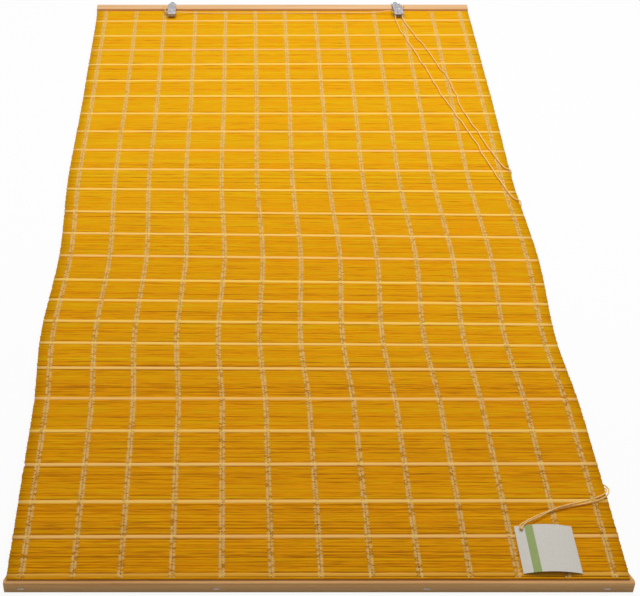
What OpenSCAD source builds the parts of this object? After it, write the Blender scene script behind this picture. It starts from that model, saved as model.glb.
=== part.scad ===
// Bamboo roll up blind, unrolled and lying on its back with its front face up.
// X runs along the slats, Y from the bottom rail to the head rail, Z up from the floor.

/* [Rails] */
// Length of the head rail and the bottom rail
rail_l = 806; // [606:10:1006]
// Width of a rail, in the plane of the mat
rail_w = 28; // [24:1:40]
// Thickness of a rail
rail_t = 18; // [14:1:24]
// Radius of a rail's long edges
rail_edge_r = 2.5; // [1:0.5:5]
// Bare wood of the head rail above the mat
head_show = 22; // [18:1:24]
// Depth of the rebate in the head rail that takes the mat's upper end
rebate_h = 7.3; // [5:0.1:10]
// Bare wood of the bottom rail in front of the mat
foot_show = 4.5; // [2:0.5:8]

/* [Mat] */
// How far the sticks and slats stop short of the rails' ends
mat_inset = 3; // [0:0.5:10]
// Distance from stick to stick
stick_pitch = 2.56; // [2:0.02:3.5]
// Thickness of a stick
stick_t = 2.4; // [1.6:0.1:3]
// Depth of the groove between two sticks, on each face
stick_groove = 0.55; // [0.2:0.05:0.7]
// Usual number of sticks between two slats
panel_sticks = 23; // [12:1:30]
// Sticks above the topmost slat
top_sticks = 16; // [12:1:24]
// Sticks below the end slat
tail_sticks = 2; // [1:1:6]
// Number of pale slats
slat_count = 24; // [12:1:24]
// Width of a pale slat
slat_w = 6.4; // [4:0.2:10]
// Width of the end slat
end_slat_w = 8; // [5:0.2:12]
// Thickness of the slats
slat_t = 2.2; // [1.4:0.1:3]
// Open slits in each panel of sticks
panel_slits = 4; // [0:1:4]
// Width of a slit
slit_w = 0.7; // [0.3:0.1:1]

/* [Warp bands] */
// Number of woven bands across the mat
band_count = 13; // [7:1:13]
// Width of a band
band_w = 7; // [4:0.5:10]
// Thickness of a band on each face of the mat
band_t = 0.6; // [0.3:0.1:1]
// Distance from the mat's side to the middle of the outer band
band_inset = 20; // [8:1:30]

/* [Fittings] */
// Distance between the two hanging holes
fitting_spread = 482; // [302:10:562]
// How far the two fittings sit to the right of the middle
fitting_shift = 3; // [-20:1:20]
// Width of the pulley's steel strips
strip_w = 17; // [16:0.5:20]
// Width of the cord lock's steel strips
lock_w = 20; // [18:0.5:24]
// Thickness of the steel strips
strip_t = 1.2; // [0.8:0.1:1.6]
// Inner radius of the strip's folds
bend_r = 1; // [0.4:0.1:1.2]
// Radius of the hanging hole
ear_hole_r = 2.25; // [1.5:0.25:2.75]
// Radius of the hanging ear
ear_r = 4.5; // [4:0.25:6]
// How far the ear reaches past the head rail
ear_reach = 8; // [8:0.5:12]
// Length of the housing from its web to its lip
housing_l = 39; // [38:1:50]
// Space between the two cheeks
housing_gap = 6.2; // [6:0.1:8]
// Height of the pulley's folded lip
pulley_lip_h = 5; // [3:0.1:5.2]
// Height of the cord lock's folded lip, above the mouth that the cords leave by
lock_lip_h = 2.6; // [2:0.1:3]
// Radius of a pulley wheel
wheel_r = 6; // [5.5:0.1:6.5]
// Radius at the bottom of a wheel's groove
groove_r = 3.6; // [3.4:0.1:4.2]
// Radius of a wheel's axle
axle_r = 1.5; // [1:0.1:2]
// Radius of the jam roller
roller_r = 3.2; // [2.8:0.1:3.4]
// Travel of the jam roller along its slots
roller_travel = 3.5; // [2:0.5:4]
// Slant of the cord lock on the rail, in degrees
lock_tilt = 3; // [0:1:4]

/* [Fixings] */
// Radius of a fixing screw's shank
screw_r = 1.75; // [1.25:0.25:2.25]
// Length of a fixing screw's shank below its head
screw_l = 15; // [10:1:18]
// Radius of a fixing screw's head
screw_head_r = 3.75; // [3:0.25:4.5]
// Width of a staple's crown
staple_crown = 8; // [5:0.5:12]
// Length of a staple's legs
staple_leg = 8; // [5:0.5:12]
// Thickness of the flat staple wire
staple_wire = 0.7; // [0.5:0.1:1]

/* [Cords and tag] */
// Diameter of the lift cords
cord_d = 2.2; // [1.4:0.1:2.2]
// Radius of the hole that a lift cord takes through the head rail
cord_hole_r = 1.6; // [1.4:0.1:2.2]
// Radius of a knot behind the head rail
rail_knot_r = 3.2; // [2.6:0.1:3.6]
// Radius of the knot on the tag
tag_knot_r = 2.6; // [2.2:0.1:3.5]
// Width of the card tag
tag_w = 76; // [50:1:90]
// Length of the card tag
tag_l = 80; // [50:1:95]
// Thickness of the card
tag_t = 0.5; // [0.4:0.1:1]
// How far the curled card rises in its middle
tag_rise = 5; // [3:0.5:8]
// Radius of the tag's hole
tag_hole_r = 2; // [1.5:0.25:3]

/* [Hidden] */
$fn = 48;

function numbered(name, i) = str(name, i < 10 ? "_0" : "_", i);

// One overrun serves all cuts
over = 1;
// Room between a slat and the sticks beside it
slat_clear = 0.1;
// Room between a band and the mat
band_clear = 0.1;
// Room round a shank or a staple leg in its hole
fix_clear = 0.05;
// Running clearance of a wheel on its axle
run_clear = 0.05;
// Side play of a wheel or the roller between the cheeks
side_play = 0.4;
// Room round the roller's pins in their slots
slot_clear = 0.3;

mat_w = rail_l - 2 * mat_inset;
// Height of the middle of the mat where it lies on the bottom rail and in the head rail's rebate
seat_z = rail_t + band_t + 2 * band_clear + stick_t / 2;
head_seat_z = seat_z - rebate_h;
// Room between the mat's upper end and the wall of the rebate
rebate_clear = 1;
// Top of the bands above the middle of the mat
band_top = stick_t / 2 + band_clear + band_t;
// Eased edge of a slat, as a share of its thickness
slat_ease_share = 0.2;

// Sticks that a panel has more or fewer than usual, from the bottom to the top
panel_more = [-1, 0, 1, 1, 2, 0, -3, -5, -5, -5, 0, 0, 0, 2, 0, 0, 0, 0, 0, -3, 0, -2, -2, 0];

// Sag of the lying mat: place along the slats, fall as a share of the rebate's depth
sag_shares = [[0, 0], [0.04, 0], [0.1, 0.03], [0.3, 0.6], [0.6, 1.05], [0.85, 1.05], [1, 1]];
sag_last = len(sag_shares) - 1;

// Slope of the smooth sag at one of its points, level at both ends
function sag_slope(i) = i == 0 || i == sag_last ? 0 :
    (sag_shares[i + 1][1] - sag_shares[i - 1][1]) / (sag_shares[i + 1][0] - sag_shares[i - 1][0]);
function sag_piece(i, u, w) =
    (2 * u ^ 3 - 3 * u ^ 2 + 1) * sag_shares[i][1] + (u ^ 3 - 2 * u ^ 2 + u) * w * sag_slope(i)
    + (3 * u ^ 2 - 2 * u ^ 3) * sag_shares[i + 1][1] + (u ^ 3 - u ^ 2) * w * sag_slope(i + 1);
function sag(s, i = 0) =
    i < sag_last - 1 && s > sag_shares[i + 1][0] ? sag(s, i + 1) :
    let (w = sag_shares[i + 1][0] - sag_shares[i][0]) sag_piece(i, (s - sag_shares[i][0]) / w, w);

// The end slat is number 0, the pale slats follow from the bottom to the top
function width_of(i) = i == 0 ? end_slat_w : slat_w;
function panel_count(i) = panel_sticks + panel_more[i];
function slat_z(i) = seat_z - rebate_h * sag(i / slat_count);
function panel_rise(i) = slat_z(i + 1) - slat_z(i);
function panel_pitch(i) = (width_of(i) + width_of(i + 1)) / 2 + panel_count(i) * stick_pitch;
function panel_run(i) = sqrt(panel_pitch(i) ^ 2 - panel_rise(i) ^ 2);
function panel_slope(i) = i < 0 || i >= slat_count ? 0 : atan2(panel_rise(i), panel_run(i));
function slat_slope(i) = (panel_slope(i - 1) + panel_slope(i)) / 2;
function slat_run(i) = i == 0 ? 0 : slat_run(i - 1) + panel_run(i - 1);

// Lengths below the end slat's middle and above the topmost slat's middle
tail_l = end_slat_w / 2 + tail_sticks * stick_pitch;
head_l = slat_w / 2 + top_sticks * stick_pitch;
overall_l = staple_wire + foot_show + tail_l + slat_run(slat_count) + head_l + rebate_clear + head_show
    + ear_reach;

// Places along Y, from the bottom rail's front to the hanging holes
rail_front_y = staple_wire - overall_l / 2;
mat_bottom_y = rail_front_y + foot_show;
slat_zero_y = mat_bottom_y + tail_l;
mat_top_y = slat_zero_y + slat_run(slat_count) + head_l;
rail_far_y = mat_top_y + rebate_clear + head_show;
hole_y = rail_far_y + ear_reach - ear_r;
function slat_y(i) = slat_zero_y + slat_run(i);

// Path of the mat's middle: lower end, slats, upper end
mat_path = concat(
    [[mat_bottom_y, seat_z, 0]],
    [for (i = [0:slat_count]) [slat_y(i), slat_z(i), slat_slope(i)]],
    [[mat_top_y, head_seat_z, 0]]);

// Sizes of the fittings, seen from the hanging hole with the rail's top face at zero
web_inset = 2.5;
cover_z = strip_t + housing_gap;
web_y = -(ear_reach - ear_r) - head_show + web_inset;
lip_y = web_y - housing_l;
gap_mid_z = strip_t + housing_gap / 2;
wheel_t = housing_gap - 2 * side_play;
rim_t = 0.8;
// Room between the lower cheek's end and the lip
mouth_clear = 0.8;
foot_end_y = -ear_r - ear_hole_r / 2;
screw_y = (web_y + strip_t + foot_end_y) / 2;
rivet_head_r = 3;
rivet_head_h = 1.2;
screw_head_h = 2.2;
// Cross recess in a screw's head
recess_w = 1;
recess_l = 4.4;
recess_h = 1.1;
// Places of the wheels and the roller in their housings, as shares of the housing's length
pulley_wheel_share = 0.6;
lock_wheel_share = 0.46;
roller_share = 0.78;
// Sideways places in the cord lock, as shares of its width
lock_wheel_x_share = 0.1;
roller_x_share = -0.16;
pulley_wheel_y = web_y - housing_l * pulley_wheel_share;
lock_wheel_x = lock_w * lock_wheel_x_share;
lock_wheel_y = web_y - housing_l * lock_wheel_share;
roller_x = lock_w * roller_x_share;
roller_y = web_y - housing_l * roller_share;
roller_pin_r = 1.3;
knurl_count = 16;
knurl_r = 0.35;

// Drift of each band from an even spacing, from the left, as a share of its width
band_shift_shares = [0, 0.3, -0.05, 0.3, 0.4, 0.45, 0.45, 0.7, 0.45, 0.6, 0.25, 0.3, -0.2];
function band_x(k) = (mat_w - 2 * band_inset) * ((k - 1) / (band_count - 1) - 0.5)
    + band_w * band_shift_shares[k - 1];

// Lift cord holes beside the fittings, in the bare strip of the head rail
cord_hole_x = fitting_spread / 2 + strip_w;
cord_hole_y = rail_far_y - head_show / 2;
knot_room = 0.8;
knot_bore_r = rail_knot_r + knot_room;
knot_bore_h = rail_t / 2;

// Staples in the front of the bottom rail, as shares of its length
staple_shares = [0.027, 0.338, 0.671, 0.957];
staple_w = 1.2;

// Tag on the mat, as shares of the mat's width and of its own size
tag_x_share = 0.375;
tag_hole_x_share = -0.39;
tag_hole_y_share = 0.41;
tag_x = mat_w * tag_x_share;
tag_edge = 8.5;
tag_y = mat_bottom_y + tag_edge + tag_l / 2;
tag_z = seat_z + band_top + 2 * band_clear;
tag_curl_r = (tag_w ^ 2 / 4 + tag_rise ^ 2) / (2 * tag_rise);
tag_hole_x = tag_x + tag_w * tag_hole_x_share;
tag_hole_y = tag_y + tag_l * tag_hole_y_share;
tag_hole_z = tag_z + sqrt(tag_curl_r ^ 2 - (tag_w * tag_hole_x_share) ^ 2) - tag_curl_r + tag_rise;

reed_yellow = [0.85, 0.6, 0.06];
pale_bamboo = [0.93, 0.7, 0.32];
thread_cream = [0.8, 0.66, 0.42];
rail_wood = [0.9, 0.72, 0.5];
galvanised = [0.72, 0.74, 0.76];
bright_steel = [0.8, 0.8, 0.8];
cord_cream = [0.88, 0.82, 0.68];
card_white = [0.93, 0.92, 0.88];

// Turns a profile drawn as Y and Z into a bar along X, in the middle of the part
module along_x(length) {
    translate([-length / 2, 0, 0]) rotate([90, 0, 90]) linear_extrude(length) children();
}

// Section of a rail with rounded long edges
module rail_section() {
    translate([rail_edge_r, 0]) square([rail_w - 2 * rail_edge_r, rail_t]);
    translate([0, rail_edge_r]) square([rail_w, rail_t - 2 * rail_edge_r]);
    for (y = [rail_edge_r, rail_w - rail_edge_r], z = [rail_edge_r, rail_t - rail_edge_r])
        translate([y, z]) circle(rail_edge_r);
}

module rail_bar(front_y) {
    translate([0, front_y, 0]) along_x(rail_l) rail_section();
}

// Places what is drawn from a hanging hole at the left or right fitting
module at_fitting(side) {
    translate([fitting_shift + side * fitting_spread / 2, hole_y, rail_t])
        rotate([0, 0, side > 0 ? lock_tilt : 0]) children();
}

module cord_bore(side) {
    translate([fitting_shift + side * cord_hole_x, cord_hole_y, 0]) {
        translate([0, 0, -over]) cylinder(r = cord_hole_r, h = rail_t + 2 * over);
        translate([0, 0, -over]) cylinder(r = knot_bore_r, h = knot_bore_h + over);
    }
}

module head_rail() {
    wall_y = rail_far_y - head_show;
    color(rail_wood) difference() {
        rail_bar(rail_far_y - rail_w);
        translate([-rail_l / 2 - over, wall_y - rail_w, rail_t - rebate_h])
            cube([rail_l + 2 * over, rail_w, rebate_h + over]);
        for (side = [-1, 1]) {
            cord_bore(side);
            at_fitting(side) translate([0, screw_y, 2 * strip_t - screw_l - fix_clear])
                cylinder(r = screw_r + fix_clear, h = screw_l + over);
        }
    }
}

// Legs of a flat wire staple, from its crown into the bottom rail
module staple_legs(grow) {
    thick = staple_wire + 2 * grow;
    height = staple_w + 2 * grow;
    for (side = [-1, 1])
        translate([side * (staple_crown - staple_wire) / 2 - thick / 2, -staple_wire, -height / 2])
            cube([thick, staple_wire + staple_leg + grow, height]);
}

module staple_crown_bar() {
    translate([-staple_crown / 2, -staple_wire, -staple_w / 2]) cube([staple_crown, staple_wire, staple_w]);
}

module at_staples() {
    for (share = staple_shares)
        translate([rail_l * (share - 0.5), rail_front_y, rail_t / 2]) children();
}

module bottom_rail() {
    color(rail_wood) difference() {
        rail_bar(rail_front_y);
        at_staples() staple_legs(fix_clear);
    }
}

module bottom_rail_staples() {
    color(bright_steel) at_staples() {
        staple_crown_bar();
        staple_legs(0);
    }
}

// Upper outline of a row of sticks, a groove on both sides of each
function stick_line(count, side) = [
    for (j = [0:2 * count])
        [min(max(j / 2 * stick_pitch, slat_clear), count * stick_pitch - slat_clear),
         side * (stick_t / 2 - (j % 2 == 0 ? stick_groove : 0))]];
function reversed(list) = [for (i = [len(list) - 1:-1:0]) list[i]];

// Short slits between the sticks of a panel, each from one band to the next
module slits(panel, count) {
    cells = band_count - 1;
    cell = (mat_w - 2 * band_inset) / cells;
    for (k = [1:panel_slits]) {
        column = (panel * 5 + k * 3 + floor(k / 2)) % cells;
        row = 2 + (panel * 7 + k * 5) % (count - 3);
        translate([(column + 0.5) * cell - mat_w / 2 + band_inset, row * stick_pitch, 0])
            cube([cell - band_w, slit_w, 2 * stick_t], center = true);
    }
}

module stick_panel(count) {
    along_x(mat_w) polygon(concat(stick_line(count, 1), reversed(stick_line(count, -1))));
}

module reed_mat() {
    color(reed_yellow) {
        translate([0, mat_bottom_y, seat_z]) stick_panel(tail_sticks);
        for (i = [0:slat_count - 1])
            translate([0, slat_y(i), slat_z(i)]) rotate([panel_slope(i), 0, 0])
                translate([0, width_of(i) / 2, 0]) difference() {
                    stick_panel(panel_count(i));
                    slits(i, panel_count(i));
                }
        translate([0, mat_top_y - top_sticks * stick_pitch, head_seat_z]) difference() {
            stick_panel(top_sticks);
            slits(slat_count, top_sticks);
        }
    }
}

// Section of a flat split-bamboo slat with eased edges
function slat_section(w, e) = [
    [w / 2 - e, slat_t / 2], [e - w / 2, slat_t / 2], [-w / 2, slat_t / 2 - e], [-w / 2, e - slat_t / 2],
    [e - w / 2, -slat_t / 2], [w / 2 - e, -slat_t / 2], [w / 2, e - slat_t / 2], [w / 2, slat_t / 2 - e]];

module slat(i) {
    translate([0, slat_y(i), slat_z(i)]) rotate([slat_slope(i), 0, 0])
        along_x(mat_w) polygon(slat_section(width_of(i), slat_t * slat_ease_share));
}

module natural_slat(i) {
    color(pale_bamboo) slat(i);
}

module end_slat() {
    color(pale_bamboo) slat(0);
}

// Outline of the mat's section, grown by a distance on both faces and both ends
function grown_side(side, d) = [
    for (p = mat_path) [p[0] - side * d * sin(p[2]), p[1] + side * d * cos(p[2])]];
function grown_ends(list, e) = [
    for (i = [0:len(list) - 1])
        [list[i][0] + (i == 0 ? -e : i == len(list) - 1 ? e : 0), list[i][1]]];
function grown(d, e) =
    concat(grown_ends(grown_side(1, d), e), reversed(grown_ends(grown_side(-1, d), e)));

// Woven band that runs down the front, round the mat's end and up the back
module warp_band(k) {
    outer = grown(band_top, band_clear + band_t);
    inner = grown(band_top - band_t, band_clear);
    count = len(outer);
    color(thread_cream)
        translate([band_x(k), 0, 0]) along_x(band_w)
            polygon(concat(outer, inner),
                [[for (i = [0:count - 1]) i], [for (i = [0:count - 1]) count + i]]);
}

// Quarter of a fold in the strip, turned to one of the four quadrants
module fold(quadrant) {
    intersection() {
        difference() {
            circle(bend_r + strip_t);
            circle(bend_r);
        }
        rotate(90 * quadrant) square(bend_r + strip_t);
    }
}

// Section of the cover strip: foot, web, upper cheek and lip, with rounded folds between them
module front_section(lip_h) {
    foot_y = web_y + strip_t + bend_r;
    foot_z = 2 * strip_t + bend_r;
    cheek_y = lip_y + strip_t + bend_r;
    fold_z = cover_z - bend_r;
    translate([foot_y, strip_t]) square([foot_end_y - foot_y, strip_t]);
    translate([foot_y, foot_z]) fold(2);
    translate([web_y, foot_z]) square([strip_t, fold_z - foot_z]);
    translate([web_y - bend_r, fold_z]) fold(0);
    translate([cheek_y, cover_z]) square([web_y - bend_r - cheek_y, strip_t]);
    translate([cheek_y, fold_z]) fold(1);
    translate([lip_y, cover_z - lip_h]) square([strip_t, lip_h - bend_r]);
}

// Outline of the flat back strip, from its round hanging ear to the mouth that the cords leave by
module back_outline(width) {
    shoulder_y = -(ear_reach - ear_r);
    mouth_y = lip_y + strip_t + mouth_clear;
    translate([-width / 2, mouth_y]) square([width, shoulder_y - mouth_y]);
    translate([-ear_r, shoulder_y - over]) square([2 * ear_r, over - shoulder_y]);
    circle(ear_r);
}

module drill(x, y, r) {
    translate([x, y, -over]) cylinder(r = r, h = cover_z + strip_t + 2 * over);
}

module back_strip(width, wheel_x, wheel_y) {
    difference() {
        linear_extrude(strip_t) back_outline(width);
        drill(0, 0, ear_hole_r);
        drill(0, screw_y, screw_r + fix_clear);
        drill(wheel_x, wheel_y, axle_r + fix_clear);
    }
}

module front_strip(width, wheel_x, wheel_y, lip_h) {
    difference() {
        along_x(width) front_section(lip_h);
        drill(0, screw_y, screw_r + fix_clear);
        drill(wheel_x, wheel_y, axle_r + fix_clear);
    }
}

// Grooved wheel on an axle across the cheeks
module wheel() {
    rotate_extrude() polygon([
        [axle_r + run_clear, -wheel_t / 2], [wheel_r, -wheel_t / 2], [wheel_r, rim_t - wheel_t / 2],
        [groove_r, -rim_t], [groove_r, rim_t],
        [wheel_r, wheel_t / 2 - rim_t], [wheel_r, wheel_t / 2], [axle_r + run_clear, wheel_t / 2]]);
}

// Rivet with a domed head on the cover and a flush end in the lower cheek
module axle() {
    cylinder(r = axle_r, h = cover_z + strip_t + rivet_head_h / 2);
    translate([0, 0, cover_z + strip_t]) rotate_extrude() difference() {
        translate([0, rivet_head_h - rivet_head_r]) circle(rivet_head_r);
        translate([-2 * rivet_head_r, -2 * rivet_head_r]) square([4 * rivet_head_r, 2 * rivet_head_r]);
        translate([-2 * rivet_head_r, -rivet_head_r]) square([2 * rivet_head_r, 2 * rivet_head_r]);
    }
}

module pulley_back_strip() {
    color(galvanised) at_fitting(-1) back_strip(strip_w, 0, pulley_wheel_y);
}

module pulley_front_strip() {
    color(galvanised) at_fitting(-1) front_strip(strip_w, 0, pulley_wheel_y, pulley_lip_h);
}

module pulley_wheel() {
    color(bright_steel) at_fitting(-1) translate([0, pulley_wheel_y, gap_mid_z]) wheel();
}

module pulley_axle() {
    color(bright_steel) at_fitting(-1) translate([0, pulley_wheel_y, 0]) axle();
}

// Slot in which one of the roller's pins slides
module roller_slot() {
    r = roller_pin_r + slot_clear;
    drill(roller_x, roller_y, r);
    drill(roller_x, roller_y - roller_travel, r);
    translate([roller_x - r, roller_y - roller_travel, -over])
        cube([2 * r, roller_travel, cover_z + strip_t + 2 * over]);
}

module lock_back_strip() {
    color(galvanised) at_fitting(1) difference() {
        back_strip(lock_w, lock_wheel_x, lock_wheel_y);
        roller_slot();
    }
}

module lock_front_strip() {
    color(galvanised) at_fitting(1) difference() {
        front_strip(lock_w, lock_wheel_x, lock_wheel_y, lock_lip_h);
        roller_slot();
    }
}

module lock_wheel() {
    color(bright_steel) at_fitting(1) translate([lock_wheel_x, lock_wheel_y, gap_mid_z]) wheel();
}

module lock_axle() {
    color(bright_steel) at_fitting(1) translate([lock_wheel_x, lock_wheel_y, 0]) axle();
}

// Knurled roller that jams the cord, its pins flush with the cheeks
module lock_roller() {
    color(bright_steel) at_fitting(1) translate([roller_x, roller_y, 0]) {
        cylinder(r = roller_pin_r, h = cover_z + strip_t);
        translate([0, 0, gap_mid_z - wheel_t / 2]) difference() {
            cylinder(r = roller_r, h = wheel_t);
            for (k = [1:knurl_count])
                rotate([0, 0, 360 * k / knurl_count]) translate([roller_r, 0, -over])
                    cylinder(r = knurl_r, h = wheel_t + 2 * over);
        }
    }
}

// Dome-headed screws with a cross recess, which hold both strips on the head rail
module fitting_screws() {
    dome_r = (screw_head_r ^ 2 + screw_head_h ^ 2) / (2 * screw_head_h);
    color(bright_steel) for (side = [-1, 1])
        at_fitting(side) translate([0, screw_y, 2 * strip_t]) difference() {
            union() {
                translate([0, 0, -screw_l]) cylinder(r = screw_r, h = screw_l + screw_head_h / 2);
                rotate_extrude() intersection() {
                    translate([0, screw_head_h - dome_r]) circle(dome_r);
                    square([screw_head_r, screw_head_h]);
                }
            }
            for (turn = [0, 90])
                rotate([0, 0, turn]) translate([-recess_l / 2, -recess_w / 2, screw_head_h - recess_h])
                    cube([recess_l, recess_w, recess_h + over]);
        }
}

// Routes of the two lift cords, from the knot behind the head rail to the knot on the tag
left_route = [
    [-255, 784, 8], [-255, 784, 17.5], [-254.8, 781.5, 21.6], [-254, 771, 23], [-252.5, 757.5, 22.6],
    [-248.5, 749.8, 22.3], [-243, 747.2, 22.3], [-238, 747, 22.3], [-233, 748, 22.3], [-227, 750, 22],
    [-214, 754.5, 19.4], [-197, 757.8, 16.2], [136, 758.2, 16], [196, 758, 17], [225, 757, 21.8],
    [234, 753.5, 22.3], [238, 745, 22], [238.6, 736.8, 20.9], [239.5, 724, 17], [248.5, 664, 16],
    [270, 571, 15.8], [306, 393, 15.6], [332, 295, 15.5], [392, 61, 15.9], [400.6, 54.5, 15.9],
    [404, 50, 11.5], [400.5, 45, 5.8], [393, 36, 1.6], [391, -600, 1.4], [396, -624, 8],
    [401.5, -631.5, 14.5], [403.5, -638.5, 19], [401.2, -645.5, 22.8], [394, -651.5, 23.7],
    [376, -661, 24.2], [340, -673.4, 25.8], [324, -679, 25.8], [300, -692.5, 24.6], [276, -708.5, 27],
    [271.8, -715, 27.2]];
right_route = [
    [261, 784, 8], [261, 784, 17.5], [260.2, 781.3, 21.8], [257.5, 772, 23], [255, 764, 22.5],
    [253.4, 758, 22.3], [253.2, 750.5, 22.2], [253.3, 743.5, 21.8], [253.5, 736.8, 20.9], [254.6, 727, 18],
    [256.5, 718, 16.4], [271.5, 664, 16], [291.5, 600, 15.9], [303.5, 542, 15.8], [319, 490, 15.7],
    [328, 416, 15.6], [334.5, 360, 15.5], [351, 286, 15.5], [392, 158.5, 15.7], [400.6, 152, 15.7],
    [404, 147.5, 11.3], [400.5, 142.5, 5.7], [393, 133, 1.6], [387, 40, 1.4], [386, -560, 1.4],
    [390, -590, 4.6], [398, -617, 9], [404.5, -627, 14.5], [407.5, -637, 19], [405, -647, 22.4],
    [396, -656, 23.6], [376, -665.5, 23.4], [340, -674.5, 23.2], [324, -679, 23.2], [308, -684.5, 23.2],
    [284, -698, 23.7], [275.5, -704.5, 24.8], [270.8, -709, 26.4], [269.2, -712, 27.1],
    [269.1, -714.4, 27.2]];
cord_sides = 8;

function unit(v) = v / norm(v);
function route_way(route, i) =
    unit(route[min(i + 1, len(route) - 1)] - route[max(i - 1, 0)]);
// Sideways direction of a ring, square to the route and as level as it can be
function ring_side(way) = unit(cross(abs(way[2]) > 0.9 ? [0, 1, 0] : [0, 0, 1], way));
function ring(route, i) =
    let (way = route_way(route, i), side = ring_side(way), top = cross(way, side))
    [for (k = [0:cord_sides - 1])
        route[i] + cord_d / 2 * (cos(360 * k / cord_sides) * side + sin(360 * k / cord_sides) * top)];

module cord(route) {
    last = len(route) - 1;
    n = cord_sides;
    points = [for (i = [0:last]) each ring(route, i)];
    walls = [for (i = [0:last - 1], k = [0:n - 1])
        each [[i * n + k, i * n + (k + 1) % n, (i + 1) * n + k],
              [i * n + (k + 1) % n, (i + 1) * n + (k + 1) % n, (i + 1) * n + k]]];
    ends = [[for (k = [n - 1:-1:0]) k], [for (k = [0:n - 1]) last * n + k]];
    polyhedron(points, [for (face = concat(walls, ends)) reversed(face)]);
}

module left_lift_cord() {
    color(cord_cream) cord(left_route);
}

module right_lift_cord() {
    color(cord_cream) cord(right_route);
}

module rail_knots() {
    color(cord_cream) for (side = [-1, 1])
        translate([fitting_shift + side * cord_hole_x, cord_hole_y, knot_bore_h - rail_knot_r])
            sphere(rail_knot_r);
}

// Curled card that lies on its two side edges
module hang_tag() {
    color(card_white) difference() {
        translate([tag_x, tag_y + tag_l / 2, tag_z + tag_rise - tag_curl_r])
            rotate([90, 0, 0]) linear_extrude(tag_l) intersection() {
                difference() {
                    circle(tag_curl_r + tag_t, $fn = 128);
                    circle(tag_curl_r, $fn = 128);
                }
                translate([-tag_w / 2, 0]) square([tag_w, 2 * tag_curl_r]);
            }
        translate([tag_hole_x, tag_hole_y, tag_z - over])
            cylinder(r = tag_hole_r, h = tag_rise + tag_t + 2 * over);
    }
}

module tag_knot() {
    color(cord_cream)
        translate([tag_hole_x, tag_hole_y, tag_hole_z + tag_t + tag_knot_r]) sphere(tag_knot_r);
}

head_rail();
bottom_rail();
bottom_rail_staples();
reed_mat();
end_slat();
for (i = [1:slat_count])
    natural_slat(i);
for (k = [1:band_count])
    warp_band(k);
pulley_back_strip();
pulley_front_strip();
pulley_wheel();
pulley_axle();
lock_back_strip();
lock_front_strip();
lock_wheel();
lock_axle();
lock_roller();
fitting_screws();
left_lift_cord();
right_lift_cord();
rail_knots();
hang_tag();
tag_knot();
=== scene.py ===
"""Looks of a bamboo roll up blind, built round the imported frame. Lengths are in metres."""

import math

import bmesh
import bpy
import numpy as np
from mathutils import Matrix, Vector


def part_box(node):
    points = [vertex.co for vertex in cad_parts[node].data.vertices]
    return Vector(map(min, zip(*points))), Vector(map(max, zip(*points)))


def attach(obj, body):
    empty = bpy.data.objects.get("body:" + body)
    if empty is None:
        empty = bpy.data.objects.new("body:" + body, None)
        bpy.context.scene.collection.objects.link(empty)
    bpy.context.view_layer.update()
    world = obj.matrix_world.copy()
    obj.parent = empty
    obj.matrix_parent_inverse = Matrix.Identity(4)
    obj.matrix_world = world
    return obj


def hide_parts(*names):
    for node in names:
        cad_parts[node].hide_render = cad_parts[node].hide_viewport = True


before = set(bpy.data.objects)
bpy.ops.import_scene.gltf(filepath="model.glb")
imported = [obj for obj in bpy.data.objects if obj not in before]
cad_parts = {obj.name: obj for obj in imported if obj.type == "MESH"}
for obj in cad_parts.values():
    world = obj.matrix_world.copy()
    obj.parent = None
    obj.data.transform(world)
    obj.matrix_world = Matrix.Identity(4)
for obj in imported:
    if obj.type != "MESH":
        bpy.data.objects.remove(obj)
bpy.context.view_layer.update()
rng = np.random.default_rng(7)

MM = 0.001
BODY = "blind"
SLAT_COUNT = 24
BAND_COUNT = 13

# Camera that took the photograph, 640 pixels wide
PHOTO_W = 640
FOCAL_PX = 1398
AXIS_PX_X = 230
CAMERA_PLACE = (-0.1135, -1.9622, 1.4166)
CAMERA_TILT_DEG = 51.235
SENSOR_W_MM = 36

# Range that most of a noise texture's values lie in
NOISE_RANGE = (0.3, 0.7)
# How much of their painted shade colour the rails take on at the floor
FLOOR_SHADE_SHARE = 0.85
# Middle and half width of the tag's stripe, as shares of the tag's width
STRIPE_PLACE_SHARE = 0.24
STRIPE_HALF_SHARE = 0.07


def numbered(name, i):
    return f"{name}_{i:02d}"


# Materials


SHADER_INPUTS = {"specular": "Specular IOR Level", "roughness": "Roughness", "metallic": "Metallic"}


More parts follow.
